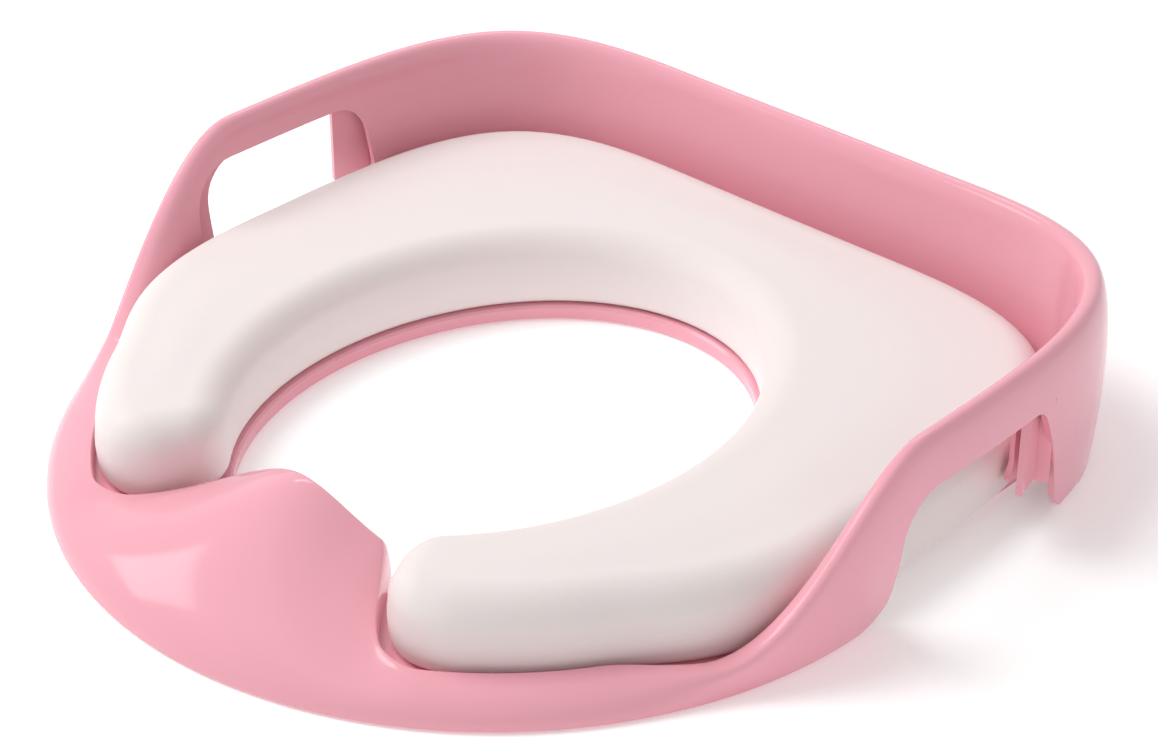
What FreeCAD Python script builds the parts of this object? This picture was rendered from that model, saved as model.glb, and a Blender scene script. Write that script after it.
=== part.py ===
import FreeCAD, Part
import math
import os
import Sketcher
from FreeCAD import Placement, Rotation, Vector

# Potty training seat: a glossy moulded frame with a soft horseshoe cushion snapped into it.
# +Y points to the back wall, +X to the right seen from the front, +Z up.
# The origin lies on the floor, under the middle of the seat's box.

document = FreeCAD.newDocument("potty_training_seat")
sheet = document.addObject("Spreadsheet::Sheet", "sizes")

SIZES = [
    # plan of the moulded frame, measured from the ring centre
    ("front_radius", 153.0, "outer edge of the flange at the front"),
    ("rear_half_width", 162.8, "middle of the seat to the widest line of a side wall"),
    ("rear_length", 171.8, "ring centre to the widest line of the back wall"),
    ("corner_power", 4.3, "how square the back corners are"),
    ("wall_foot_width", 15.3, "widest line of a wall to its inner foot"),
    ("wall_crest_inset", 5.5, "widest line of a wall to its crest"),
    ("flange_width", 16.5, "flange from its outer edge to the cushion well"),
    ("flange_lip", 1.5, "cushion well to the flange's crest"),
    ("guard_depth", 69.0, "outer edge of the flange to the guard's inner foot"),
    ("guard_lip", 3.0, "guard's inner foot to its crest"),
    ("wall_tuck", 1.8, "how far the walls draw in at the floor"),
    # heights above the lower edge of the frame
    ("guard_height", 32.5, "splash guard"),
    ("flange_height", 10.0, "flange beside the cushion"),
    ("arm_height", 65.0, "armrest"),
    ("back_height", 60.5, "back wall"),
    ("skin", 2.6, "moulded wall thickness"),
    ("rim_lift", 1.0, "lower edge of the frame above the floor"),
    # opening and well
    ("hole_half_width", 78.5, "seat hole across"),
    ("hole_half_length", 97.0, "seat hole along"),
    ("hole_centre_y", -11.8, "middle of the seat hole"),
    ("tray_top", 5.0, "cushion well floor above the lower edge"),
    # hand openings in the armrests
    ("hand_front_y", -1.5, "front edge of a hand opening"),
    ("hand_rear_y", 65.5, "rear edge of a hand opening at its top"),
    ("hand_rear_lean", 22.0, "how far its rear edge runs back towards the floor"),
    ("hand_top", 47.8, "upper edge above the lower edge of the frame"),
    ("hand_front_radius", 16.0, "front upper corner"),
    ("hand_rear_radius", 8.0, "rear upper corner"),
    ("hand_front_flare", 13.0, "rounding of its front edge into the lower edge"),
    ("hand_rear_flare", 6.0, "rounding of its rear edge into the lower edge"),
    ("hand_sill", 138.0, "middle of the seat to the sill under a hand opening"),
    # cushion
    ("cushion_height", 28.0, "cushion thickness"),
    ("cushion_side_gap", 1.2, "cushion to the well's wall at the front and sides"),
    ("cushion_back_gap", 4.5, "cushion to the back wall's foot"),
    ("cushion_hole_margin", 1.0, "cushion's hole outside the skirt"),
    ("cushion_shoulder", 10.5, "upper edge rounding"),
    ("cushion_heel", 4.0, "lower edge rounding"),
    ("mouth_half_angle", 30.0, "half the gap between the cushion's ends, at the ring centre"),
    ("cushion_end_radius", 12.0, "plan rounding of the cushion's ends"),
    # backing board and its snap pegs
    ("board_inset", 7.0, "board inside the cushion's outline"),
    ("board_thickness", 2.0, "backing board"),
    ("board_clearance", 0.3, "board to its recess in the cushion"),
    ("peg_diameter", 6.0, "snap peg stem"),
    ("peg_clearance", 0.3, "gap around a stem in its hole"),
    ("peg_head_flare", 0.9, "head beyond the stem"),
    ("peg_head_height", 1.8, "snap head"),
    ("peg_slot", 1.4, "slot that lets a peg close"),
    # grip pads
    ("pad_width", 14.0, "grip pad across"),
    ("pad_length", 46.0, "grip pad along"),
    ("pad_clearance", 0.3, "pad to its rails"),
    ("pad_groove", 1.0, "depth of the grip grooves"),
    ("pad_groove_width", 2.0, "grip groove across"),
    ("pad_corner", 2.5, "plan rounding of a grip pad"),
    # ribs
    ("rib", 1.8, "stiffening rib thickness"),
]

# Sizes that follow from the ones above.
FOLLOWING = [
    ("ring_y", "=(front_radius - rear_length) / 2", "ring centre"),
    ("tray_level", "=rim_lift + tray_top", "well floor, upper face"),
    ("tray_under", "=tray_level - skin", "well floor, lower face"),
    ("hollow_under", "=tray_under - rim_lift", "space below the well floor, down to the lower edge"),
    ("hand_ceiling", "=rim_lift + hand_top", "upper edge of a hand opening above the floor"),
    ("hand_foot_y", "=hand_rear_y + hand_rear_lean", "rear edge of a hand opening at the floor"),
    ("hand_front_knee", "=rim_lift + hand_front_flare", "start of the front flare above the floor"),
    ("hand_rear_knee", "=rim_lift + hand_rear_flare", "start of the rear flare above the floor"),
    ("hand_knee_y", "=hand_foot_y - hand_rear_lean * hand_rear_flare / hand_top", "rear edge where its flare starts"),
    ("hand_front_low", "=hand_front_y - hand_front_flare - 2 * rim_lift", "foot of the front flare"),
    ("hand_rear_low", "=hand_knee_y + hand_rear_flare + 2 * rim_lift", "foot of the rear flare"),
    ("below_floor", "=-rim_lift", "where cuts through the lower edge start"),
    ("hand_depth", "=rear_half_width + wall_foot_width - hand_sill", "reach of a hand opening's cut"),
    ("mouth_far", "=-1.6 * front_radius", "reach of the mouth's cut"),
    ("mouth_right", "=-mouth_far * tan(mouth_half_angle)", "mouth's cut to the right"),
    ("mouth_left", "=-mouth_right", "mouth's cut to the left"),
    ("recess_inset", "=board_inset - board_clearance", "recess inside the cushion's outline"),
    ("recess_shift", "=recess_inset / sin(mouth_half_angle)", "mouth of the recess behind the cushion's"),
    ("board_shift", "=board_inset / sin(mouth_half_angle)", "mouth of the board behind the cushion's"),
    ("peg_hole_radius", "=peg_diameter / 2 + peg_clearance", "hole for a snap peg"),
    ("pad_right", "=pad_length / 2", "grip pad's end"),
    ("pad_left", "=-pad_right", "grip pad's other end"),
    ("pad_back", "=pad_width / 2", "grip pad's side"),
    ("pad_front", "=-pad_back", "grip pad's other side"),
    ("pad_pitch", "=pad_length / 7", "groove to groove"),
    ("groove_left", "=-2.5 * pad_pitch", "first groove's left edge"),
    ("groove_right", "=groove_left + pad_groove_width", "first groove's right edge"),
    ("groove_span", "=5 * pad_pitch - pad_groove_width", "first groove to the last"),
]

for row, (alias, value, note) in enumerate(SIZES + FOLLOWING, start=1):
    sheet.set("A%d" % row, alias)
    sheet.set("B%d" % row, str(value))
    sheet.set("C%d" % row, note)
    sheet.setAlias("B%d" % row, alias)
document.recompute()


def size(alias):
    return float(sheet.get(alias))


# Guide curves. Every section of the frame lies in an upright plane through the ring centre, at an
# angle that is 0 at the front, 90 at the right and 180 at the back.
RING_Y = size("ring_y")
LIFT = size("rim_lift")

GUARD_SLOPE = (0.0, 30.0)
GUARD_FOOT = (18.5, 29.5)
ARM_REACH = (56.0, 94.0)
ARM_SLOPE = (68.0, 97.0)
ARM_FOOT = (91.0, 104.0)
BACK_SLOPE = (132.0, 166.0)


def blend(angle, span, first, last):
    share = min(max((angle - span[0]) / (span[1] - span[0]), 0.0), 1.0)
    share = share * share * (3.0 - 2.0 * share)
    return first + (last - first) * share


def rear_radius(angle, inset):
    across = abs(math.sin(math.radians(angle))) / (size("rear_half_width") - inset)
    along = abs(math.cos(math.radians(angle))) / (size("rear_length") - inset)
    power = size("corner_power")
    return (across ** power + along ** power) ** (-1.0 / power)


def hole_radius(angle, margin):
    across = math.sin(math.radians(angle)) / (size("hole_half_width") + margin)
    along = -math.cos(math.radians(angle)) / (size("hole_half_length") + margin)
    offset = (RING_Y - size("hole_centre_y")) / (size("hole_half_length") + margin)
    a = across * across + along * along
    b = along * offset
    return (-b + math.sqrt(b * b - a * (offset * offset - 1.0))) / a


def outer_radius(angle):
    return blend(angle, ARM_FOOT, size("front_radius"), rear_radius(angle, size("wall_tuck")))


def well_radius(angle, skin):
    # the guard's side stands across the ring, so a skin moves it round the ring as well as inward
    well = size("front_radius") - size("flange_width")
    guard = size("front_radius") - size("guard_depth")
    front = blend(angle + math.degrees(skin / well), GUARD_FOOT, guard, well)
    return blend(angle, ARM_REACH, front, rear_radius(angle, size("wall_foot_width"))) + skin


def crest_radius(angle):
    lip = blend(angle, GUARD_FOOT, size("guard_lip"), size("flange_lip"))
    rear = rear_radius(angle, size("wall_crest_inset"))
    return blend(angle, ARM_REACH, well_radius(angle, 0.0) + lip, rear)


def crest_height(angle):
    height = blend(angle, GUARD_SLOPE, size("guard_height"), size("flange_height"))
    height = blend(angle, ARM_SLOPE, height, size("arm_height"))
    return blend(angle, BACK_SLOPE, height, size("back_height"))


def cushion_radius(angle):
    well = size("front_radius") - size("flange_width")
    radius = blend(angle, ARM_REACH, well, rear_radius(angle, size("wall_foot_width")))
    return radius - blend(angle, BACK_SLOPE, size("cushion_side_gap"), size("cushion_back_gap"))


def folded(turn):
    return 360.0 - turn if turn > 180.0 else turn


def place(turn, radius, z=0.0):
    angle = math.radians(turn)
    return Vector(radius * math.sin(angle), RING_Y - radius * math.cos(angle), z)


def bezier(points):
    curve = Part.BezierCurve()
    curve.setPoles(points)
    return curve.toShape()


def rim_curves(turn, skin):
    # the two curves that meet at the crest, drawn in by a skin: outer foot to crest, crest to inner foot
    angle = folded(turn)
    full = outer_radius(angle) - well_radius(angle, 0.0)
    share = (crest_radius(angle) - well_radius(angle, 0.0)) / full
    outer = outer_radius(angle) - skin
    well = well_radius(angle, skin)
    crest = well + share * (outer - well)
    # the walls swell a little between the floor and their shoulder
    belly = blend(angle, ARM_SLOPE, outer, rear_radius(angle, skin) + 1.0)
    shoulder = blend(angle, ARM_REACH, outer, rear_radius(angle, skin) + 0.3)
    top = LIFT + crest_height(angle) - skin
    tall = top - LIFT
    # handles: low and flat on the guard, rounder on the flange, upright on the walls
    rise = blend(angle, ARM_SLOPE, blend(angle, GUARD_FOOT, 0.34, 0.6), 0.45)
    cap = blend(angle, ARM_SLOPE, blend(angle, GUARD_FOOT, 0.25, 0.6), 1.0)
    drop = blend(angle, ARM_SLOPE, blend(angle, GUARD_FOOT, 0.7, 0.8), 0.93)
    lean = blend(angle, ARM_SLOPE, 0.0, 0.45)
    outside = [
        place(turn, outer, LIFT),
        place(turn, belly, LIFT + rise * tall),
        place(turn, crest + cap * (shoulder - crest), top),
        place(turn, crest, top),
    ]
    inside = [
        place(turn, crest, top),
        place(turn, crest - 0.55 * (crest - well), top),
        place(turn, well + lean * (crest - well), LIFT + drop * tall),
        place(turn, well, LIFT),
    ]
    return outside, inside


def below(point):
    # straight under a foot, where the rim is cut level afterwards
    return Vector(point.x, point.y, -4.0 * LIFT)


def hollow_section(turn):
    # the rim's wall all round: over the crest, down, and back up inside it
    outside, inside = rim_curves(turn, 0.0)
    under_outside, under_inside = rim_curves(turn, size("skin"))
    corners = [below(point) for point in (outside[0], inside[3], under_inside[3], under_outside[0])]
    return Part.Wire([
        Part.makeLine(corners[0], outside[0]),
        bezier(outside),
        bezier(inside),
        Part.makeLine(inside[3], corners[1]),
        Part.makeLine(corners[1], corners[2]),
        Part.makeLine(corners[2], under_inside[3]),
        bezier(under_inside[::-1]),
        bezier(under_outside[::-1]),
        Part.makeLine(under_outside[0], corners[3]),
        Part.makeLine(corners[3], corners[0]),
    ])


def filled_section(turn):
    # the same rim filled up to the middle of its wall
    outside, inside = rim_curves(turn, size("skin") / 2.0)
    return Part.Wire([
        Part.makeLine(below(outside[0]), outside[0]),
        bezier(outside),
        bezier(inside),
        Part.makeLine(inside[3], below(inside[3])),
        Part.makeLine(below(inside[3]), below(outside[0])),
    ])


# Stations are close where the guard and the armrests rise, and wide along the walls.
STATIONS = [3.0 * step for step in range(6)]
STATIONS += [17.0 + 1.5 * step for step in range(11)]
STATIONS += [34.0, 37.0, 41.0, 46.0, 51.0, 56.0]
STATIONS += [61.0 + 4.0 * step for step in range(11)]
STATIONS += [107.0 + 6.0 * step for step in range(12)]
RING = STATIONS + [180.0] + [360.0 - angle for angle in STATIONS[:0:-1]]
# The right half runs on past the middle at both ends, so that it crosses the middle smoothly.
RIGHT = [turn - 360.0 for turn in RING if turn > 332.0] + [turn for turn in RING if turn < 206.0]


# Ways of building, shared by the pieces.
def add(kind, name, **properties):
    made = document.addObject(kind, name)
    for key, value in properties.items():
        setattr(made, key, value)
    return made


def bind(made, **sums):
    # each property follows a sum of sizes
    for key, aliases in sums.items():
        made.setExpression(key, "(%s) * 1 mm" % total(*aliases)[1])
    return made


def total(*aliases):
    number = sum(size(alias) for alias in aliases)
    return number, " + ".join("sizes." + alias for alias in aliases)


def raised(made, *aliases):
    made.setExpression("Placement.Base.z", "(%s) * 1 mm" % total(*aliases)[1])
    return made


def new_body(name):
    return document.addObject("PartDesign::Body", name)


def new_sketch(body, name, role="XY_Plane"):
    sketch = body.newObject("Sketcher::SketchObject", name)
    plane = [entry for entry in body.Origin.OriginFeatures if entry.Role == role][0]
    sketch.AttachmentSupport = [(plane, "")]
    sketch.MapMode = "FlatFace"
    return sketch


def hold(sketch, aliases, kind, *references):
    number, expression = total(*aliases)
    held = sketch.addConstraint(Sketcher.Constraint(kind, *references, number))
    sketch.setExpression("Constraints[%d]" % held, "(%s) * 1 mm" % expression)


def polygon(sketch, corners):
    # each corner is a pair of sums of sizes, measured from the sketch's origin
    spots = [Vector(total(*across)[0], total(*along)[0], 0.0) for across, along in corners]
    first = sketch.GeometryCount
    for start, end in zip(spots, spots[1:] + spots[:1]):
        sketch.addGeometry(Part.LineSegment(start, end))
    for index, (across, along) in enumerate(corners):
        previous = first + (index - 1) % len(corners)
        sketch.addConstraint(Sketcher.Constraint("Coincident", previous, 2, first + index, 1))
        if across:
            hold(sketch, across, "DistanceX", -1, 1, first + index, 1)
        else:
            sketch.addConstraint(Sketcher.Constraint("PointOnObject", first + index, 1, -2))
        hold(sketch, along, "DistanceY", -1, 1, first + index, 1)


def ellipse(sketch, half_width, half_length, centre_y):
    across, along, middle = total(*half_width)[0], total(*half_length)[0], total(*centre_y)[0]
    outline = Part.Ellipse(Vector(0, middle + along, 0), Vector(across, middle, 0), Vector(0, middle, 0))
    curve = sketch.addGeometry(outline)
    sketch.exposeInternalGeometry(curve)
    sketch.addConstraint(Sketcher.Constraint("Vertical", curve + 1))
    sketch.addConstraint(Sketcher.Constraint("PointOnObject", curve, 3, -2))
    hold(sketch, half_length + half_length, "Distance", curve + 1)
    hold(sketch, half_width + half_width, "Distance", curve + 2)
    hold(sketch, centre_y, "DistanceY", -1, 1, curve, 3)


def outline(sketch, radius_at):
    # smooth closed outline through one point at every station of the ring
    curve = Part.BSplineCurve()
    curve.interpolate(Points=[place(turn, radius_at(folded(turn))) for turn in RING], PeriodicFlag=True)
    sketch.addGeometry(curve)


def pad(body, sketch, *aliases):
    made = body.newObject("PartDesign::Pad", sketch.Name + "_pad")
    made.Profile = sketch
    bind(made, Length=aliases)
    document.recompute()
    return made


def pocket(body, sketch, *aliases):
    before = body.Shape.Volume
    made = body.newObject("PartDesign::Pocket", sketch.Name + "_cut")
    made.Profile = sketch
    made.Reversed = True
    bind(made, Length=aliases)
    document.recompute()
    if body.Shape.Volume > before - 1.0:
        raise RuntimeError(made.Name + " removed nothing")
    return made


def fillet(body, name, radius, wanted):
    base = body.Tip
    edges = ["Edge%d" % number for number, edge in enumerate(base.Shape.Edges, start=1) if wanted(edge)]
    made = body.newObject("PartDesign::Fillet", name)
    made.Base = (base, edges)
    made.Radius = radius
    document.recompute()
    return made


def upright(edge):
    box = edge.BoundBox
    return box.ZLength > 0.5 and max(box.XLength, box.YLength) < 0.01


def level_at(edge, z):
    return abs(edge.BoundBox.ZMin - z) < 0.01 and abs(edge.BoundBox.ZMax - z) < 0.01


def right_half(name, base):
    half = add("Part::Box", name + "_side", Length=900.0, Width=900.0, Height=900.0)
    half.Placement.Base = Vector(0.0, -450.0, LIFT)
    return add("Part::Common", name, Base=base, Tool=half)


def rim_loft(name, section):
    loft = Part.makeLoft([section(turn) for turn in RIGHT], True, False, False)
    return right_half(name, add("Part::Feature", name + "_loft", Shape=loft))


def turned(turn, radius, z=0.0):
    # stands at the given place of the ring, with its own Y axis pointing outward from the ring centre
    return Placement(place(turn, radius, z), Rotation(Vector(0, 0, 1), turn + 180.0))


# Frame: double-walled rim, well floor, skirt round the hole and the ribs below, all one moulding.
def well_ring(name, *height):
    # prism over the well, from the hole's edge into the middle of the rim's inner skin
    body = new_body(name)
    plan = new_sketch(body, name + "_plan")
    outline(plan, lambda angle: well_radius(angle, size("skin") / 2.0))
    pad(body, plan, *height)
    hole = new_sketch(body, name + "_hole")
    ellipse(hole, ("hole_half_width",), ("hole_half_length",), ("hole_centre_y",))
    pocket(body, hole, *height)
    return body


def skirt():
    body = new_body("skirt")
    plan = new_sketch(body, "skirt_plan")
    ellipse(plan, ("hole_half_width", "skin"), ("hole_half_length", "skin"), ("hole_centre_y",))
    ellipse(plan, ("hole_half_width",), ("hole_half_length",), ("hole_centre_y",))
    pad(body, plan, "tray_top")
    return raised(body, "rim_lift")


def hand_cut():
    body = new_body("hand_cut")
    side = new_sketch(body, "hand_side", "YZ_Plane")
    polygon(side, [
        (("hand_front_low",), ("below_floor",)),
        (("hand_rear_low",), ("below_floor",)),
        (("hand_knee_y",), ("hand_rear_knee",)),
        (("hand_rear_y",), ("hand_ceiling",)),
        (("hand_front_y",), ("hand_ceiling",)),
        (("hand_front_y",), ("hand_front_knee",)),
    ])
    pad(body, side, "hand_depth")
    corners = [
        ("hand_front_corner", "hand_front_radius", "hand_front_y", "hand_ceiling"),
        ("hand_rear_corner", "hand_rear_radius", "hand_rear_y", "hand_ceiling"),
        ("hand_front_bend", "hand_front_flare", "hand_front_y", "hand_front_knee"),
        ("hand_rear_bend", "hand_rear_flare", "hand_knee_y", "hand_rear_knee"),
    ]
    for name, radius, at_y, at_z in corners:
        room = 0.4 * min(size("hand_rear_y") - size("hand_front_y"), size("hand_top"))
        fillet(body, name, min(size(radius), room), lambda edge: along_x(edge, size(at_y), size(at_z)))
    body.setExpression("Placement.Base.x", "sizes.hand_sill * 1 mm")
    return body


def opened(name, base, cutter):
    # a plane can miss the long curved wall, so the cutter shifts by a hair until the opening is clear
    made = add("Part::Cut", name, Base=base, Tool=cutter)
    for hair in (0.0, -0.1, 0.1, -0.2, 0.2, -0.3, 0.3):
        cutter.Placement.Base.y = hair
        document.recompute()
        if is_clear(made.Shape):
            return made
    raise RuntimeError(name + " is not open")


def is_clear(walls):
    # straight lines through both walls, across the hand opening, meet nothing
    if not walls.isValid() or len(walls.Solids) != 1:
        return False
    front, rear = size("hand_front_y"), size("hand_rear_y")
    start = size("hand_sill") + 1.0
    for share in (0.2, 0.5, 0.8):
        for height in (0.2, 0.7):
            spot = Vector(start, front + share * (rear - front), LIFT + height * size("hand_top"))
            line = Part.makeLine(spot, spot + Vector(size("hand_depth") - 2.0, 0, 0))
            if line.common(walls).Length > 0.0:
                return False
    return True


def along_x(edge, at_y, at_z):
    box = edge.BoundBox
    thin = max(box.YLength, box.ZLength) < 0.01
    return thin and box.XLength > 1.0 and abs(box.YMin - at_y) < 0.01 and abs(box.ZMin - at_z) < 0.01


def mirrored(name, source):
    return add("Part::Mirroring", name, Source=source, Base=Vector(0, 0, 0), Normal=Vector(1, 0, 0))


def block(name, length, width, height, placement):
    # box centred on its own Y and X, standing on its placement
    made = add("Part::Box", name, Length=length, Width=width, Height=height)
    made.Placement = placement * Placement(Vector(-length / 2.0, -width / 2.0, 0), Rotation())
    return made


def webs():
    # upright webs in the hollow rim, ending in the middle of its wall
    tall = size("arm_height")
    boxes = []
    for turn in (20.0, 50.0, 135.0, 150.0, 165.0, 180.0):
        at = turned(turn, outer_radius(turn) - size("wall_foot_width"), LIFT)
        boxes.append(block("web", size("rib"), 5.0 * size("wall_foot_width"), tall, at))
    for at_y in (size("hand_front_low") - 6.0, size("hand_rear_low") + 6.0):
        at = Placement(Vector(size("rear_half_width"), at_y, LIFT), Rotation())
        boxes.append(block("web", 4.0 * size("wall_foot_width"), size("rib"), tall, at))
    return add("Part::Common", "webs", Base=rim_loft("rim_filled", filled_section),
               Tool=add("Part::Compound", "web_boxes", Links=boxes))


def ribs():
    # low ribs below the well floor, from the skirt to the rim
    boxes = []
    for turn in (76.0, 88.0, 112.0, 142.0, 168.0, 180.0):
        at = turned(turn, 1.15 * size("hole_half_length"), LIFT)
        boxes.append(block("rib", size("rib"), size("rear_half_width"), size("tray_top"), at))
    ground = raised(well_ring("rib_ground", "tray_top"), "rim_lift")
    return add("Part::Common", "ribs", Base=right_half("rib_half", ground),
               Tool=add("Part::Compound", "rib_boxes", Links=boxes))


def sill():
    # edge strip of the well floor under the hand opening
    long = size("hand_foot_y") - size("hand_front_y") + 1.5 * size("wall_foot_width")
    middle = (size("hand_foot_y") + size("hand_front_y")) / 2.0
    at = Vector(size("hand_sill") - size("skin") / 2.0, middle, LIFT)
    return block("sill", size("skin"), long, size("tray_top"), Placement(at, Rotation()))


PAD_TURNS = {"right_front": 47.0, "right_back": 127.0, "left_back": 233.0, "left_front": 313.0}
PEG_TURNS = (68.0, 100.0, 155.0)


def middle_radius(turn):
    angle = folded(turn)
    return (hole_radius(angle, 0.0) + cushion_radius(angle)) / 2.0


def rails(name):
    # low wall round a grip pad, below the well floor
    turn = PAD_TURNS[name]
    at = turned(turn, middle_radius(turn), LIFT)
    long = size("pad_length") + 2.0 * size("pad_clearance")
    wide = size("pad_width") + 2.0 * size("pad_clearance")
    tall = size("tray_top") - size("skin") / 2.0
    around = block("rail_" + name, long + 2.0 * size("rib"), wide + 2.0 * size("rib"), tall, at)
    room = block("room_" + name, long, wide, size("hollow_under"), at)
    return add("Part::Cut", "rails_" + name, Base=around, Tool=room)


def frame():
    right_hand = hand_cut()
    walls = add("Part::Fuse", "walls", Base=rim_loft("rim", hollow_section), Tool=webs())
    walls = opened("walls_open", walls, right_hand)
    tray = right_half("tray_half", raised(well_ring("tray", "skin"), "tray_under"))
    well = add("Part::MultiFuse", "well", Shapes=[tray, right_half("skirt_half", skirt()), ribs()])
    well = add("Part::Cut", "well_open", Base=well, Tool=right_hand)
    seat = add("Part::Fuse", "seat", Base=walls, Tool=well)
    below_seat = [sill(), rails("right_front"), rails("right_back")]
    half = add("Part::MultiFuse", "half_with_rails", Shapes=[seat] + below_seat)
    holes = []
    for turn in PEG_TURNS:
        hole = bind(add("Part::Cylinder", "peg_hole"), Radius=("peg_hole_radius",), Height=("tray_level",))
        hole.Placement = turned(turn, middle_radius(turn), LIFT)
        holes.append(hole)
    half = add("Part::Cut", "half", Base=half, Tool=add("Part::Compound", "peg_holes", Links=holes))
    return add("Part::Fuse", "frame", Base=half, Tool=mirrored("other_half", half), Refine=True)


# Cushion: soft horseshoe, open to the front, recessed below for its backing board.
def horseshoe(name, height, inset, shift):
    body = new_body(name)
    plan = new_sketch(body, name + "_plan")
    drawn_in = total(*inset)[0]
    outline(plan, lambda angle: cushion_radius(angle) - drawn_in)
    pad(body, plan, height)
    hole = new_sketch(body, name + "_hole")
    ellipse(hole, ("hole_half_width", "cushion_hole_margin") + inset,
            ("hole_half_length", "cushion_hole_margin") + inset, ("hole_centre_y",))
    pocket(body, hole, height)
    mouth = new_sketch(body, name + "_mouth")
    polygon(mouth, [
        ((), ("ring_y",) + shift),
        (("mouth_left",), ("ring_y", "mouth_far") + shift),
        (("mouth_right",), ("ring_y", "mouth_far") + shift),
    ])
    pocket(body, mouth, height)
    return body


def cushion():
    body = horseshoe("cushion_block", "cushion_height", (), ())
    tip = size("mouth_half_angle")
    end = cushion_radius(tip) - hole_radius(tip, size("cushion_hole_margin"))
    # the ends are rounded in plan as far as their length allows, and the shoulders as far as that rounding
    round_end = min(size("cushion_end_radius"), 0.47 * end)
    shoulder = min(size("cushion_shoulder"), 0.9 * round_end)
    heel = min(size("cushion_heel"), 0.5 * round_end)
    fillet(body, "cushion_ends", round_end, lambda edge: upright(edge) and abs(edge.BoundBox.XMin) > 5.0)
    fillet(body, "cushion_shoulders", shoulder, lambda edge: level_at(edge, size("cushion_height")))
    fillet(body, "cushion_heels", heel, lambda edge: level_at(edge, 0.0))
    recess = horseshoe("cushion_recess", "board_thickness", ("recess_inset",), ("recess_shift",))
    return raised(add("Part::Cut", "cushion", Base=body, Tool=recess), "tray_level")


# Backing board of the cushion, with split pegs that snap through the well floor.
def board():
    plate = raised(horseshoe("board_plate", "board_thickness", ("board_inset",), ("board_shift",)), "tray_level")
    stems = []
    slots = []
    for turn in PEG_TURNS + tuple(360.0 - turn for turn in PEG_TURNS):
        at = turned(turn, middle_radius(turn), size("tray_under"))
        radius = size("peg_diameter") / 2.0
        stem = add("Part::Cylinder", "peg_stem", Placement=at)
        stem.Radius = radius
        bind(stem, Height=("skin", "board_thickness"))
        head = add("Part::Cone", "peg_head", Radius2=radius + size("peg_head_flare"), Radius1=0.8 * radius)
        bind(head, Height=("peg_head_height",))
        head.Placement = at * Placement(Vector(0, 0, -size("peg_head_height")), Rotation())
        stems += [stem, head]
        low = Placement(Vector(0, 0, -size("peg_head_height")), Rotation())
        slots.append(block("peg_slot", size("peg_slot"), 3.0 * size("peg_diameter"),
                           size("peg_head_height") + 0.8 * size("skin"), at * low))
    whole = add("Part::MultiFuse", "board_with_pegs", Shapes=[plate] + stems)
    return add("Part::Cut", "cushion_board", Base=whole, Tool=add("Part::Compound", "peg_slots", Links=slots))


# Grip pads: soft blocks pressed up between their rails, standing proud of the frame's lower edge.
def grip_pad(name, turn):
    body = new_body("grip_pad_" + name)
    plan = new_sketch(body, "pad_plan_" + name)
    polygon(plan, [
        (("pad_left",), ("pad_front",)),
        (("pad_right",), ("pad_front",)),
        (("pad_right",), ("pad_back",)),
        (("pad_left",), ("pad_back",)),
    ])
    pad(body, plan, "tray_under")
    corner = min(size("pad_corner"), 0.4 * size("pad_width"))
    fillet(body, "pad_corners_" + name, corner, upright)
    groove = new_sketch(body, "pad_groove_" + name)
    polygon(groove, [
        (("groove_left",), ("pad_front",)),
        (("groove_right",), ("pad_front",)),
        (("groove_right",), ("pad_back",)),
        (("groove_left",), ("pad_back",)),
    ])
    first = pocket(body, groove, "pad_groove")
    row = body.newObject("PartDesign::LinearPattern", "pad_grooves_" + name)
    row.Originals = [first]
    row.Direction = (groove, ["H_Axis"])
    row.Occurrences = 5
    row.Length = 4.0 * size("pad_pitch")
    body.Tip = row
    document.recompute()
    body.Placement = turned(turn, middle_radius(turn))
    return body


pieces = {"frame": frame(), "cushion": cushion(), "cushion_board": board()}
for name, turn in PAD_TURNS.items():
    pieces["grip_pad_" + name] = grip_pad(name, turn)
document.recompute()

for made in document.Objects:
    if "Invalid" in made.State or "Error" in made.State:
        raise RuntimeError("%s did not build: %s" % (made.Name, made.State))

os.makedirs("parts", exist_ok=True)
for name, piece in pieces.items():
    piece.Label = name
    if piece.Shape.isNull() or not piece.Shape.isValid() or len(piece.Shape.Solids) != 1:
        raise RuntimeError("%s is not one valid solid" % name)
    piece.Shape.exportStep("parts/%s.step" % name)
    print(name, round(piece.Shape.Volume / 1000.0, 1), "cm3", piece.Shape.BoundBox)
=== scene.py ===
"""Potty training seat: a glossy pink moulded frame with a soft off-white horseshoe cushion."""

import logging
import math
from collections.abc import Sequence
from dataclasses import dataclass, field
from enum import Enum

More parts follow.
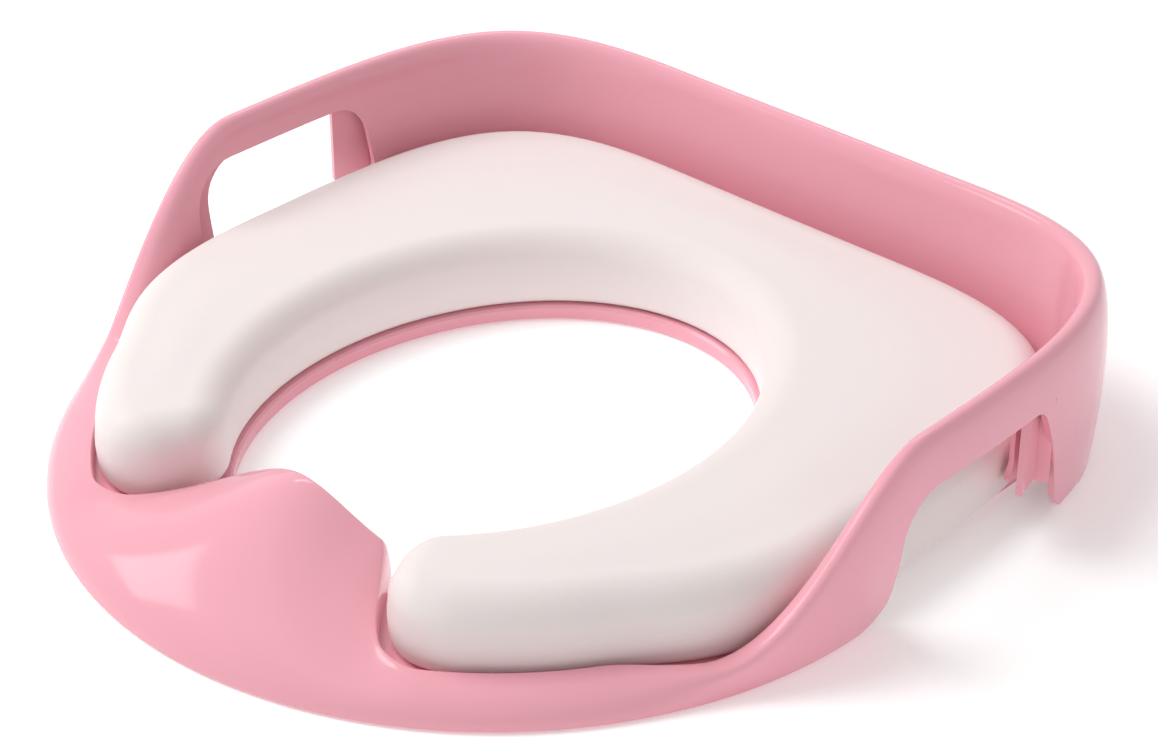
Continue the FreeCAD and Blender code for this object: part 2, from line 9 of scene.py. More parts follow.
import bmesh
import bpy
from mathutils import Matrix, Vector

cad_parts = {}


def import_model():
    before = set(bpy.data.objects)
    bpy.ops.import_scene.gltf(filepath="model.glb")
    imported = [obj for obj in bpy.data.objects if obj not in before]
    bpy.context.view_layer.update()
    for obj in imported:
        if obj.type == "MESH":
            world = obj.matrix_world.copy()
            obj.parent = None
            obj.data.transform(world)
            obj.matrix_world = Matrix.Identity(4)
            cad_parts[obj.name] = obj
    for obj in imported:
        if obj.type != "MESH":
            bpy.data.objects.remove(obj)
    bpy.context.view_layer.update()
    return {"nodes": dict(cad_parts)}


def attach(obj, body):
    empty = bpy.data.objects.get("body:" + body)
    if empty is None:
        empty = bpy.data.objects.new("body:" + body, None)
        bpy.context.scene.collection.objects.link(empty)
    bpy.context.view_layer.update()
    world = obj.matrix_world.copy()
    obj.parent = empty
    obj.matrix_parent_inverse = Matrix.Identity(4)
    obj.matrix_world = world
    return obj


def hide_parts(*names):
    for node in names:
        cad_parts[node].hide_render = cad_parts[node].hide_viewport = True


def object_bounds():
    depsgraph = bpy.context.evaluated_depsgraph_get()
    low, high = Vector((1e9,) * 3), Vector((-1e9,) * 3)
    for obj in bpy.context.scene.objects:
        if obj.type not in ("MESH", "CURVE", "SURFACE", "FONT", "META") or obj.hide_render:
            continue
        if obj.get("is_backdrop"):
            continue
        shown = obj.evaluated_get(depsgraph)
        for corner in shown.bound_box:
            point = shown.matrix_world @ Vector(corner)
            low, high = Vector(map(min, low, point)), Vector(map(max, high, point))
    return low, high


LOG = logging.getLogger("potty_seat")
MM = 0.001
SMOOTH_TO = 35.0
Pair = tuple[float, float]
Triple = tuple[float, float, float]


class Slot(Enum):
    """Material slot names of the seat's pieces."""

    FRAME = "frame"
    CUSHION = "cushion"
    BOARD = "cushion_board"
    PAD = "grip_pad"


class Lighting(Enum):
    """Roles of the lamps round the seat."""

    KEY = "key"
    WINDOW = "window"
    FILL = "fill"
    RIM = "rim"


def linear(hex_code: str) -> tuple[float, float, float, float]:
    """Turn an sRGB hex colour into linear light.

    Args:
        hex_code: Six hexadecimal digits.

    Returns:
        Red, green, blue and alpha, linear.
    """
    channels = [int(hex_code[i : i + 2], 16) / 255.0 for i in (0, 2, 4)]
    light = [c / 12.92 if c <= 0.04045 else ((c + 0.055) / 1.055) ** 2.4 for c in channels]
    return light[0], light[1], light[2], 1.0


def blend(value: float, span: Pair, first: float, last: float) -> float:
    """Ease from one value to another.

    Args:
        value: Where along the span.
        span: Start and end of the span.
        first: Result before the span.
        last: Result after the span.

    Returns:
        The eased value.
    """
    share = min(max((value - span[0]) / (span[1] - span[0]), 0.0), 1.0)
    share = share * share * (3.0 - 2.0 * share)
    return first + (last - first) * share


def folded(turn: float) -> float:
    """Fold a full turn in degrees onto the right half, 0 to 180."""
    return 360.0 - turn if turn > 180.0 else turn


def per_metre(size_mm: float) -> float:
    """Scale of a pattern that repeats every so many millimetres."""
    return 1.0 / (size_mm * MM)


def bezier(poles: Sequence[Pair], steps: int) -> list[Pair]:
    """Points along a cubic curve.

    Args:
        poles: Its four control points.
        steps: Pieces it is divided into.

    Returns:
        The points, both ends included.
    """
    points = []
    for step in range(steps + 1):
        share = step / steps
        rest = 1.0 - share
        weights = (rest**3, 3.0 * rest**2 * share, 3.0 * rest * share**2, share**3)
        points.append(tuple(sum(w * pole[axis] for w, pole in zip(weights, poles)) for axis in (0, 1)))
    return points


def add_node(tree: bpy.types.NodeTree, kind: str, **settings: object) -> bpy.types.Node:
    """Add a shader node with its settings and links.

    Args:
        tree: Node tree that takes the node.
        kind: Blender's node type.
        **settings: Node properties, or a dict called ``inputs`` of socket values, where an output
            socket makes a link.

    Returns:
        The new node.
    """
    node = tree.nodes.new(kind)
    inputs = settings.pop("inputs", {})
    for name, value in settings.items():
        setattr(node, name, value)
    for name, value in inputs.items():
        if isinstance(value, bpy.types.NodeSocket):
            tree.links.new(value, node.inputs[name])
        else:
            node.inputs[name].default_value = value
    return node


def new_material(name: str) -> tuple[bpy.types.Material, bpy.types.NodeTree]:
    """Make an empty node material.

    Args:
        name: Material name.

    Returns:
        The material and its node tree.
    """
    material = bpy.data.materials.new(name)
    material.use_nodes = True
    material.node_tree.nodes.clear()
    return material, material.node_tree


@dataclass(frozen=True)
class Moulded:
    """Finish of an injection-moulded plastic."""

    name: str
    colour: str
    roughness: float
    ior: float = 1.5
    # slow waviness that a moulded wall keeps from cooling
    ripple_mm: float = 40.0
    ripple_strength: float = 0.02
    ripple_height_mm: float = 1.0
    # how far the polish varies either way, as a share of the roughness
    polish_spread: float = 0.15

    def build(self) -> bpy.types.Material:
        """Build the node material.

        Returns:
            The material.
        """
        material, tree = new_material(self.name)
        place = add_node(tree, "ShaderNodeTexCoord")
        noise = add_node(
            tree, "ShaderNodeTexNoise",
            inputs={"Vector": place.outputs["Object"], "Scale": per_metre(self.ripple_mm), "Detail": 2.0},
        )
        bump = add_node(
            tree, "ShaderNodeBump",
            inputs={
                "Height": noise.outputs["Fac"],
                "Strength": self.ripple_strength,
                "Distance": self.ripple_height_mm * MM,
            },
        )
        shine = add_node(
            tree, "ShaderNodeMapRange",
            inputs={
                "Value": noise.outputs["Fac"],
                "To Min": (1.0 - self.polish_spread) * self.roughness,
                "To Max": (1.0 + self.polish_spread) * self.roughness,
            },
        )
        body = add_node(
            tree, "ShaderNodeBsdfPrincipled",
            inputs={
                "Base Color": linear(self.colour),
                "Roughness": shine.outputs["Result"],
                "IOR": self.ior,
                "Normal": bump.outputs["Normal"],
            },
        )
        add_node(tree, "ShaderNodeOutputMaterial", inputs={"Surface": body.outputs["BSDF"]})
        return material


@dataclass(frozen=True)
class SkinFoam:
    """Finish of integral-skin polyurethane foam."""

    name: str
    colour: str
    ior: float = 1.45
    roughness: float = 0.42
    # patches where the skin is a little smoother or duller
    patch_mm: float = 55.6
    smoother: float = 0.04
    duller: float = 0.05
    # fine leathery grain of the mould
    grain_mm: float = 0.8
    grain_strength: float = 0.06
    grain_height_mm: float = 0.1
    # light that sinks into the foam and comes out warmer
    sink_weight: float = 0.15
    sink_mm: float = 4.0
    sink_colours: Triple = (1.0, 0.7, 0.6)

    def build(self) -> bpy.types.Material:
        """Build the node material.

        Returns:
            The material.
        """
        material, tree = new_material(self.name)
        place = add_node(tree, "ShaderNodeTexCoord")
        grain = add_node(
            tree, "ShaderNodeTexVoronoi",
            inputs={"Vector": place.outputs["Object"], "Scale": per_metre(self.grain_mm)},
        )
        patches = add_node(
            tree, "ShaderNodeTexNoise",
            inputs={"Vector": place.outputs["Object"], "Scale": per_metre(self.patch_mm), "Detail": 3.0},
        )
        bump = add_node(
            tree, "ShaderNodeBump",
            inputs={
                "Height": grain.outputs["Distance"],
                "Strength": self.grain_strength,
                "Distance": self.grain_height_mm * MM,
            },
        )
        shine = add_node(
            tree, "ShaderNodeMapRange",
            inputs={
                "Value": patches.outputs["Fac"],
                "To Min": self.roughness - self.smoother,
                "To Max": self.roughness + self.duller,
            },
        )
        body = add_node(
            tree, "ShaderNodeBsdfPrincipled",
            inputs={
                "Base Color": linear(self.colour),
                "Roughness": shine.outputs["Result"],
                "IOR": self.ior,
                "Normal": bump.outputs["Normal"],
                "Subsurface Weight": self.sink_weight,
                "Subsurface Radius": self.sink_colours,
                "Subsurface Scale": self.sink_mm * MM,
            },
        )
        add_node(tree, "ShaderNodeOutputMaterial", inputs={"Surface": body.outputs["BSDF"]})
        return material


@dataclass(frozen=True)
class Plan:
    """Guide curves of the seat by angle about the ring centre, in millimetres; 0 is the front."""

    # outline: round in front, squared behind
    front_radius: float = 153.0
    rear_half_width: float = 162.8
    rear_length: float = 171.8
    corner_power: float = 4.3
    # back wall and armrests
    wall_foot: float = 15.3
    wall_tuck: float = 1.8
    crest_inset: float = 5.5
    arm_height: float = 65.0
    back_height: float = 60.5
    belly_out: float = 1.0
    shoulder_out: float = 0.3
    # front flange and splash guard
    flange_width: float = 16.5
    flange_lip: float = 1.5
    flange_height: float = 10.0
    guard_depth: float = 69.0
    guard_lip: float = 6.5
    guard_edge: float = 10.5
    guard_height: float = 32.5
    # walls and well floor
    skin: float = 2.6
    lift: float = 1.0
    tray_top: float = 5.0
    # seat hole
    hole_half_width: float = 78.5
    hole_half_length: float = 97.0
    hole_centre_y: float = -11.8
    # spans in degrees over which one form passes into the next
    guard_slope: Pair = (0.0, 29.5)
    guard_dome: Pair = (0.0, 22.0)
    guard_flank: Pair = (18.5, 28.0)
    guard_ease: Pair = (18.5, 33.5)
    guard_foot: Pair = (18.0, 32.5)
    cushion_toe: Pair = (24.0, 38.0)
    arm_reach: Pair = (56.0, 94.0)
    arm_slope: Pair = (68.0, 97.0)
    arm_foot: Pair = (91.0, 104.0)
    back_slope: Pair = (132.0, 166.0)
    # shares of the long slope in the guard's height, and of the steep one in its foot
    slope_share: float = 0.85
    flank_share: float = 0.5
    # how full the rim's curves are, from the guard or the flange to the armrests
    flange_rise: float = 0.6
    arm_rise: float = 0.45
    cap_shares: Triple = (0.3, 0.6, 1.0)
    drop_shares: Triple = (0.7, 0.8, 0.93)
    inner_cap: float = 0.55
    arm_lean: float = 0.45
    # cushion: how much its outer corners draw in, and its gap to the wall in front and behind
    toe_depth: float = 9.0
    cushion_gaps: Pair = (1.2, 4.5)

    @property
    def ring_y(self) -> float:
        """Ring centre along Y."""
        return (self.front_radius - self.rear_length) / 2.0

    def rear(self, angle: float, inset: float) -> float:
        """Radius of the squared rear outline.

        Args:
            angle: Degrees from the front.
            inset: Distance inside the outline.

        Returns:
            Radius.
        """
        across = abs(math.sin(math.radians(angle))) / (self.rear_half_width - inset)
        along = abs(math.cos(math.radians(angle))) / (self.rear_length - inset)
        return (across**self.corner_power + along**self.corner_power) ** (-1.0 / self.corner_power)

    def hole(self, angle: float, margin: float) -> float:
        """Radius of the seat hole.

        Args:
            angle: Degrees from the front.
            margin: Distance outside the hole.

        Returns:
            Radius.
        """
        half_width = self.hole_half_width + margin
        half_length = self.hole_half_length + margin
        across = math.sin(math.radians(angle)) / half_width
        along = -math.cos(math.radians(angle)) / half_length
        offset = (self.ring_y - self.hole_centre_y) / half_length
        square = across * across + along * along
        half = along * offset
        return (-half + math.sqrt(half * half - square * (offset * offset - 1.0))) / square

    def outer(self, angle: float) -> float:
        """Radius of the rim's outer foot, by degrees from the front."""
        return blend(angle, self.arm_foot, self.front_radius, self.rear(angle, self.wall_tuck))

    def well(self, angle: float, skin: float) -> float:
        """Radius of the rim's inner foot.

        Args:
            angle: Degrees from the front.
            skin: Distance into the wall.

        Returns:
            Radius.
        """
        well = self.front_radius - self.flange_width
        guard = self.front_radius - self.guard_depth
        turn = angle + math.degrees(skin / well)
        front = self.flank_share * blend(turn, self.guard_flank, guard, well)
        front += (1.0 - self.flank_share) * blend(turn, self.guard_ease, guard, well)
        return blend(angle, self.arm_reach, front, self.rear(angle, self.wall_foot)) + skin

    def crest(self, angle: float) -> float:
        """Radius of the rim's crest, by degrees from the front."""
        lip = blend(angle, self.guard_foot, self.guard_lip, self.flange_lip)
        return blend(angle, self.arm_reach, self.well(angle, 0.0) + lip, self.rear(angle, self.crest_inset))

    def crest_height(self, angle: float) -> float:
        """Height of the crest above the lower edge.

        Args:
            angle: Degrees from the front.

        Returns:
            Height.
        """
        top, low = self.guard_height, self.flange_height
        height = self.slope_share * blend(angle, self.guard_slope, top, low)
        height += (1.0 - self.slope_share) * blend(angle, self.guard_flank, top, low)
        height = blend(angle, self.arm_slope, height, self.arm_height)
        return blend(angle, self.back_slope, height, self.back_height)

    def cushion(self, angle: float) -> float:
        """Radius of the cushion's outer edge.

        Args:
            angle: Degrees from the front, 0 to 180.

        Returns:
            Radius.
        """
        well = self.front_radius - self.flange_width
        radius = blend(angle, self.arm_reach, well, self.rear(angle, self.wall_foot))
        radius -= blend(angle, self.cushion_toe, self.toe_depth, 0.0)
        return radius - blend(angle, self.back_slope, *self.cushion_gaps)

    def rim_poles(self, turn: float, skin: float) -> tuple[list[Pair], list[Pair]]:
        """Control points of the rim's two curves, as radius and height.

        Args:
            turn: Degrees from the front, 0 to 360.
            skin: Distance into the wall.

        Returns:
            Outer foot to crest, and crest to inner foot.
        """
        angle = folded(turn)
        foot = self.well(angle, 0.0)
        widest = blend(angle, self.arm_reach, self.outer(angle), self.rear(angle, 0.0))
        share = (self.crest(angle) - foot) / (widest - foot)
        outer = self.outer(angle) - skin
        well = self.well(angle, skin)
        crest = self.crest(angle) + skin * (1.0 - 2.0 * share)
        belly = blend(angle, self.arm_slope, outer, self.rear(angle, skin) + self.belly_out)
        shoulder = blend(angle, self.arm_reach, outer, self.rear(angle, skin) + self.shoulder_out)
        top = self.lift + self.crest_height(angle) - skin
        tall = top - self.lift
        edge = blend(angle, self.guard_foot, self.guard_edge, self.flange_rise * self.flange_height)
        rise = blend(angle, self.arm_slope, edge / self.crest_height(angle), self.arm_rise)
        dome, flat, arm = self.cap_shares
        cap = blend(angle, self.arm_slope, blend(angle, self.guard_dome, dome, flat), arm)
        guard, flange, arm = self.drop_shares
        drop = blend(angle, self.arm_slope, blend(angle, self.guard_foot, guard, flange), arm)
        lean = blend(angle, self.arm_slope, 0.0, self.arm_lean)
        outside = [
            (outer, self.lift),
            (belly, self.lift + rise * tall),
            (crest + cap * (shoulder - crest), top),
            (crest, top),
        ]
        inside = [
            (crest, top),
            (crest - self.inner_cap * (crest - well), top),
            (well + lean * (crest - well), self.lift + drop * tall),
            (well, self.lift),
        ]
        return outside, inside

    def point(self, turn: float, radius: float, height: float) -> Vector:
        """Place a point in metres by degrees from the front, radius and height above the floor."""
        angle = math.radians(turn)
        return Vector((radius * math.sin(angle), self.ring_y - radius * math.cos(angle), height)) * MM


def new_object(name: str, shape: bmesh.types.BMesh, smooth_to: float = SMOOTH_TO) -> bpy.types.Object:
    """Turn a bmesh into an object with soft shading up to an edge angle.

    Args:
        name: Object name.
        shape: The bmesh, freed here.
        smooth_to: Widest edge angle that is shaded smooth, in degrees.

    Returns:
        The object.
    """
    bmesh.ops.recalc_face_normals(shape, faces=shape.faces)
    mesh = bpy.data.meshes.new(name)
    shape.to_mesh(mesh)
    shape.free()
    mesh.shade_smooth()
    mesh.set_sharp_from_angle(angle=math.radians(smooth_to))
    made = bpy.data.objects.new(name, mesh)
    bpy.context.scene.collection.objects.link(made)
    return made


def band(shape: bmesh.types.BMesh, rows: Sequence[Sequence[bmesh.types.BMVert]]) -> None:
    """Fill between closed rows of vertices, leaving out sides that have shrunk to a point.

    Args:
        shape: The bmesh.
        rows: Rows of equally many vertices.
    """
    for row, following in zip(rows, rows[1:]):
        for index in range(len(row)):
            after = (index + 1) % len(row)
            corner = [row[index], row[after], following[after], following[index]]
            kept = [vertex for place, vertex in enumerate(corner) if vertex not in corner[:place]]
            if len(kept) > 2:
                shape.faces.new(kept)


def ring_body(name: str, rows: Sequence[Sequence[Vector]]) -> bpy.types.Object:
    """Skin closed sections that follow each other right round a ring.

    Args:
        name: Object name.
        rows: Sections of equally many points.

    Returns:
        The object.
    """
    shape = bmesh.new()
    rings = [[shape.verts.new(point) for point in row] for row in rows]
    band(shape, rings + rings[:1])
    return new_object(name, shape)


def prism(name: str, outline: Sequence[Vector], far: Sequence[Vector]) -> bpy.types.Object:
    """Solid between two flat outlines.

    Args:
        name: Object name.
        outline: Corners of one end.
        far: Matching corners of the other end.

    Returns:
        The object.
    """
    shape = bmesh.new()
    rings = [[shape.verts.new(point) for point in end] for end in (outline, far)]
    band(shape, rings)
    shape.faces.new(rings[0][::-1])
    shape.faces.new(rings[1])
    return new_object(name, shape)


def join(name: str, parts: Sequence[bpy.types.Object]) -> bpy.types.Object:
    """Put several objects into the first one's mesh.

    Args:
        name: Name of the result.
        parts: The objects; all but the first are removed.

    Returns:
        The joined object.
    """
    shape = bmesh.new()
    for part in parts:
        shape.from_mesh(part.data)
    joined = new_object(name, shape)
    for part in parts:
        bpy.data.objects.remove(part)
    return joined


def cut(target: bpy.types.Object, cutters: Sequence[bpy.types.Object]) -> None:
    """Cut solids out of a target and remove them.

    Args:
        target: What is cut.
        cutters: The solids.
    """
    for cutter in cutters:
        step = target.modifiers.new("opening", "BOOLEAN")
        step.object = cutter
        step.operation = "DIFFERENCE"
        step.solver = "EXACT"
    graph = bpy.context.evaluated_depsgraph_get()
    mesh = bpy.data.meshes.new_from_object(target.evaluated_get(graph))
    target.modifiers.clear()
    target.data = mesh
    mesh.shade_smooth()
    mesh.set_sharp_from_angle(angle=math.radians(SMOOTH_TO))
    for cutter in cutters:
        bpy.data.objects.remove(cutter)


def rounded(corners: Sequence[Triple], steps: int = 8) -> list[Pair]:
    """Round the corners of a flat outline.

    Args:
        corners: Two coordinates and a radius for each corner.
        steps: Points along each rounding.

    Returns:
        The outline's points.
    """
    points = []
    for index, (u, v, radius) in enumerate(corners):
        spot = Vector((u, v))
        before = (Vector(corners[index - 1][:2]) - spot).normalized()
        after = (Vector(corners[(index + 1) % len(corners)][:2]) - spot).normalized()
        if radius <= 0.0:
            points.append((u, v))
            continue
        half = before.angle(after) / 2.0
        reach = radius / math.tan(half)
        start, end = spot + before * reach, spot + after * reach
        for step in range(steps + 1):
            share = step / steps
            # weighted curve through both tangent points, close to a circle
            weight = math.sin(half)
            first, middle, last = (1 - share) ** 2, 2 * share * (1 - share) * weight, share**2
            at = (first * start + middle * spot + last * end) / (first + middle + last)
            points.append((at.x, at.y))
    return points


@dataclass
class Cushion:
    """Soft horseshoe cushion: broad shoulders, rounded ends, slight crown."""

    plan: Plan
    # lower and upper face above the floor
    low: float = 6.0
    high: float = 34.2
    # where the ends stop, in degrees from the front
    end_angle: float = 26.8
    # roundings: corners in plan and upper edge, shoulder height, lower edge
    round_mm: float = 12.5
    shoulder: float = 12.0
    heel: float = 4.0
    # how far the sides swell and the top rises, and the gap round the hole
    bulge: float = 0.5
    crown: float = 0.6
    margin: float = 1.0
    fill: float = 0.9
    # points along, across and round the cushion, and stations over which the crown rises from an end
    along: int = 150
    across: int = 18
    bend: int = 8
    heel_steps: int = 5
    side_steps: int = 6
    shoulder_steps: int = 11
    crown_run: int = 9
    smooth_to: float = 60.0
    made: bpy.types.Object = field(init=False)

    def radius(self, turn: float, share: float, inset: float) -> float:
        """Radius across the horseshoe.

        Args:
            turn: Degrees from the front, 0 to 360.
            share: 0 at the hole's side, 1 at the outer side.
            inset: Distance of both edges inside the outline.

        Returns:
            Radius.
        """
        angle = folded(turn)
        inner = self.plan.hole(angle, self.margin) + inset
        outer = self.plan.cushion(angle) - inset
        return inner + share * (outer - inner)

    def from_end(self, distance: float, share: float, inset: float, far: bool) -> Pair:
        """Place a point by its distance from an end face.

        Args:
            distance: From the end face.
            share: 0 at the hole's side, 1 at the outer side.
            inset: Distance of both edges inside the outline.
            far: Whether it is the left end.

        Returns:
            Turn and radius.
        """
        start = self.radius(self.end_angle, share, inset)
        turn = self.end_angle + math.degrees(distance / start)
        radius = self.radius(turn, share, inset)
        return (360.0 - turn if far else turn), radius

    def side(self, share: float, inset: float, step: int) -> Pair:
        """Place a point along one of the long sides.

        Args:
            share: 0 at the hole's side, 1 at the outer side.
            inset: Distance of both edges inside the outline.
            step: Number along the side.

        Returns:
            Turn and radius.
        """
        start, _ = self.from_end(self.round_mm, share, inset, False)
        turn = start + (360.0 - 2.0 * start) * step / self.along
        return turn, self.radius(turn, share, inset)

    def corner(self, outer: bool, inset: float, far: bool) -> list[Pair]:
        """Points round one corner in plan, from the long side to the end face, both left out.

        Args:
            outer: Whether it is at the outer side.
            inset: Distance inside the outline.
            far: Whether it is the left end.

        Returns:
            Turns and radii.
        """
        spots = []
        left = self.round_mm - inset
        for step in range(1, self.bend):
            angle = math.pi / 2.0 * step / self.bend
            distance = self.round_mm - left * math.sin(angle)
            within = self.round_mm - left * math.cos(angle)
            spots.append(self.from_end(distance, 1.0 if outer else 0.0, within, far))
        return spots

    def loop(self, inset: float, height: float) -> list[Vector]:
        """One level line round the cushion.

        Args:
            inset: Distance inside the outline.
            height: Above the floor.

        Returns:
            Points in metres.
        """
        spots = [self.side(0.0, inset, step) for step in range(self.along + 1)]
        spots += self.corner(False, inset, True)
        shares = [step / self.across for step in range(self.across + 1)]
        spots += [self.from_end(inset, share, self.round_mm, True) for share in shares]
        spots += self.corner(True, inset, True)[::-1]
        spots += [self.side(1.0, inset, step) for step in range(self.along, -1, -1)]
        spots += self.corner(True, inset, False)
        spots += [self.from_end(inset, share, self.round_mm, False) for share in shares[::-1]]
        spots += self.corner(False, inset, False)[::-1]
        return [self.plan.point(turn, radius, height) for turn, radius in spots]

    def levels(self) -> list[Pair]:
        """Level lines from the lower face up to the top.

        Returns:
            Inset and height of each.
        """
        pairs = []
        for step in range(self.heel_steps + 1):
            angle = math.pi / 2.0 * step / self.heel_steps
            inset = self.heel * (1.0 - math.sin(angle))
            pairs.append((inset, self.low + self.heel * (1.0 - math.cos(angle))))
        straight = self.high - self.shoulder - self.low - self.heel
        for step in range(1, self.side_steps):
            share = step / self.side_steps
            swell = self.bulge * math.sin(math.pi * share)
            pairs.append((-swell, self.low + self.heel + share * straight))
        for step in range(self.shoulder_steps):
            angle = math.pi / 2.0 * step / self.shoulder_steps
            inset = self.round_mm * (1.0 - math.cos(angle))
            pairs.append((inset, self.high - self.shoulder * (1.0 - math.sin(angle))))
        return pairs

    def build(self) -> None:
        """Build the closed mesh."""
        shape = bmesh.new()
        rings = [[shape.verts.new(point) for point in self.loop(*pair)] for pair in self.levels()]
        shape.faces.new(rings[0][::-1])
        top = []
        for step in range(self.along + 1):
            row = []
            for number in range(self.across + 1):
                share = number / self.across
                turn, radius = self.side(share, self.round_mm, step)
                along = min(step, self.along - step) / self.crown_run
                rise = self.crown * math.sin(math.pi * share) ** 2 * min(along, 1.0)
                row.append(shape.verts.new(self.plan.point(turn, radius, self.high + rise)))
            top.append(row)
        for row, following in zip(top, top[1:]):
            for number in range(self.across):
                corner = (row[number], row[number + 1], following[number + 1], following[number])
                shape.faces.new(corner)
        # the last level line runs round the grid, and stays on a grid corner for a whole rounding
        rim = [row[0] for row in top]
        rim += [top[-1][0]] * (self.bend - 1) + top[-1] + [top[-1][-1]] * (self.bend - 1)
        rim += [row[-1] for row in top[::-1]]
        rim += [top[0][-1]] * (self.bend - 1) + top[0][::-1] + [top[0][0]] * (self.bend - 1)
        band(shape, rings + [rim])
        self.made = new_object("cushion_skin", shape, self.smooth_to)

    def dress(self, finish: SkinFoam) -> None:
        """Args:
            finish: The foam skin.
        """
        self.made.data.materials.append(finish.build())
        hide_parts("cushion")
        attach(self.made, "root")
        LOG.info("cushion: %d faces", len(self.made.data.polygons))


@dataclass(frozen=True)
class Plate:
    """Upright plate between two places in plan."""

    start: Pair
    end: Pair
    thick: float
    low: float
    high: float

    def build(self, side: float) -> bpy.types.Object:
        """Build the plate.

        Args:
            side: 1 for the right, -1 for the left.

        Returns:
            The plate.
        """
        first, last = Vector(self.start), Vector(self.end)
        run = (last - first).normalized()
        aside = Vector((-run.y, run.x)) * self.thick / 2.0
        foot = [first - aside, last - aside, last + aside, first + aside]
        ends = [[Vector((side * spot.x, spot.y, z)) * MM for spot in foot] for z in (self.low, self.high)]
        return prism("plate", ends[0], ends[1])


@dataclass
class FrameShell:
    """Moulded frame: double-walled rim, well floor, skirt, webs and the two hand openings."""

    plan: Plan
    # webs inside the hollow rim: thickness, turns on the right half, and the one at the back
    rib: float = 1.8
    web_turns: tuple[float, ...] = (20.0, 50.0, 135.0, 150.0, 165.0)
    back_web: float = 180.0
    # sill under a hand opening: middle of the seat to it, its ends along Y, its top
    sill: float = 138.0
    sill_ends: Pair = (-16.0, 95.0)
    sill_top: float = 5.8
    # what the well floor loses outside the sill: ends along Y, heights, far side
    notch_ends: Pair = (-16.8, 95.0)
    notch_heights: Pair = (-1.0, 7.0)
    notch_far: float = 156.0
    # reveal at the rear of a hand opening, and the web behind it
    reveal: Plate = Plate((159.2, 60.6), (154.9, 74.5), 2.2, 20.0, 52.0)
    reveal_web: Plate = Plate((154.9, 74.5), (159.9, 76.5), 2.2, 18.0, 50.0)
    # middle of an armrest's hollow: distance at a height above the floor, and how it leans out
    parting_x: float = 151.5
    parting_z: float = 6.0
    parting_lean: float = 0.11
    # inner and outer reach of the solids that cut the windows
    window_reach: Pair = (140.0, 180.0)
    # windows as place along Y, height and corner rounding
    outer_window: tuple[Triple, ...] = (
        (-15.5, -1.0, 0.0), (-15.5, 0.6, 0.0), (-1.8, 0.6, 12.5), (-1.8, 49.0, 16.0), (69.0, 49.0, 8.0),
        (75.5, 33.0, 20.0), (82.0, 9.0, 10.0), (87.0, 2.5, 3.0), (104.0, 2.2, 3.0), (106.0, -1.0, 0.0),
    )
    inner_window: tuple[Triple, ...] = (
        (-13.0, -1.0, 0.0), (-13.0, 53.0, 18.0), (68.0, 53.0, 14.0), (72.0, 22.0, 4.0),
        (69.5, 15.0, 2.0), (86.0, 14.0, 5.0), (97.0, 5.0, 5.0), (99.0, -1.0, 0.0),
    )
    # well floor's edge at the hole, and pieces that each curve of a section is divided into
    edge_break: float = 0.8
    outside_steps: int = 22
    inside_steps: int = 18
    under_outside_steps: int = 16
    under_inside_steps: int = 14
    web_steps: int = 14
    made: bpy.types.Object = field(init=False)

    def stations(self) -> list[float]:
        """Turns of the sections, close together round the guard's sides.

        Returns:
            Degrees, 0 to just under 360.
        """
        # guard, its flanks, and the rest: first turn, distance to the next, count
        half = []
        for first, gap, count in ((0.0, 1.5, 12), (18.0, 0.25, 52), (31.0, 1.2, 124)):
            half += [first + gap * step for step in range(count)]
        return half + [180.0] + [360.0 - turn for turn in half[:0:-1]]

    def section(self, turn: float) -> list[Vector]:
        """Closed section of the double wall.

        Args:
            turn: Degrees from the front, 0 to 360.

        Returns:
            Points in metres.
        """
        outside, inside = self.plan.rim_poles(turn, 0.0)
        under_outside, under_inside = self.plan.rim_poles(turn, self.plan.skin)
        pairs = bezier(outside, self.outside_steps)[:-1] + bezier(inside, self.inside_steps)
        pairs += bezier(under_inside[::-1], self.under_inside_steps)[:-1]
        pairs += bezier(under_outside[::-1], self.under_outside_steps)
        return [self.plan.point(turn, radius, height) for radius, height in pairs]

    def floor_section(self, turn: float) -> list[Vector]:
        """Closed section of the well floor and its skirt round the hole.

        Args:
            turn: Degrees from the front, 0 to 360.

        Returns:
            Points in metres.
        """
        angle = folded(turn)
        edge = self.plan.hole(angle, 0.0)
        far = self.plan.well(angle, self.plan.skin / 2.0)
        low, high = self.plan.lift, self.plan.lift + self.plan.tray_top
        under = high - self.plan.skin
        pairs = [(edge, low), (edge, high - self.edge_break), (edge + self.edge_break, high), (far, high)]
        pairs += [(far, under), (edge + self.plan.skin, under), (edge + self.plan.skin, low)]
        return [self.plan.point(turn, radius, height) for radius, height in pairs]

    def web(self, turn: float) -> bpy.types.Object:
        """Upright web inside the hollow rim.

        Args:
            turn: Degrees from the front.

        Returns:
            The web.
        """
        outside, inside = self.plan.rim_poles(turn, self.plan.skin / 2.0)
        pairs = bezier(outside, self.web_steps)[:-1] + bezier(inside, self.web_steps)
        face = [self.plan.point(turn, radius, height) for radius, height in pairs]
        angle = math.radians(turn)
        step = Vector((math.cos(angle), math.sin(angle), 0.0)) * self.rib * MM
        return prism("web", [spot - step / 2.0 for spot in face], [spot + step / 2.0 for spot in face])

    def parting(self, height: float) -> float:
        """Distance from the middle of the seat to the middle of an armrest's hollow, at a height."""
        return self.parting_x + self.parting_lean * (height - self.parting_z)

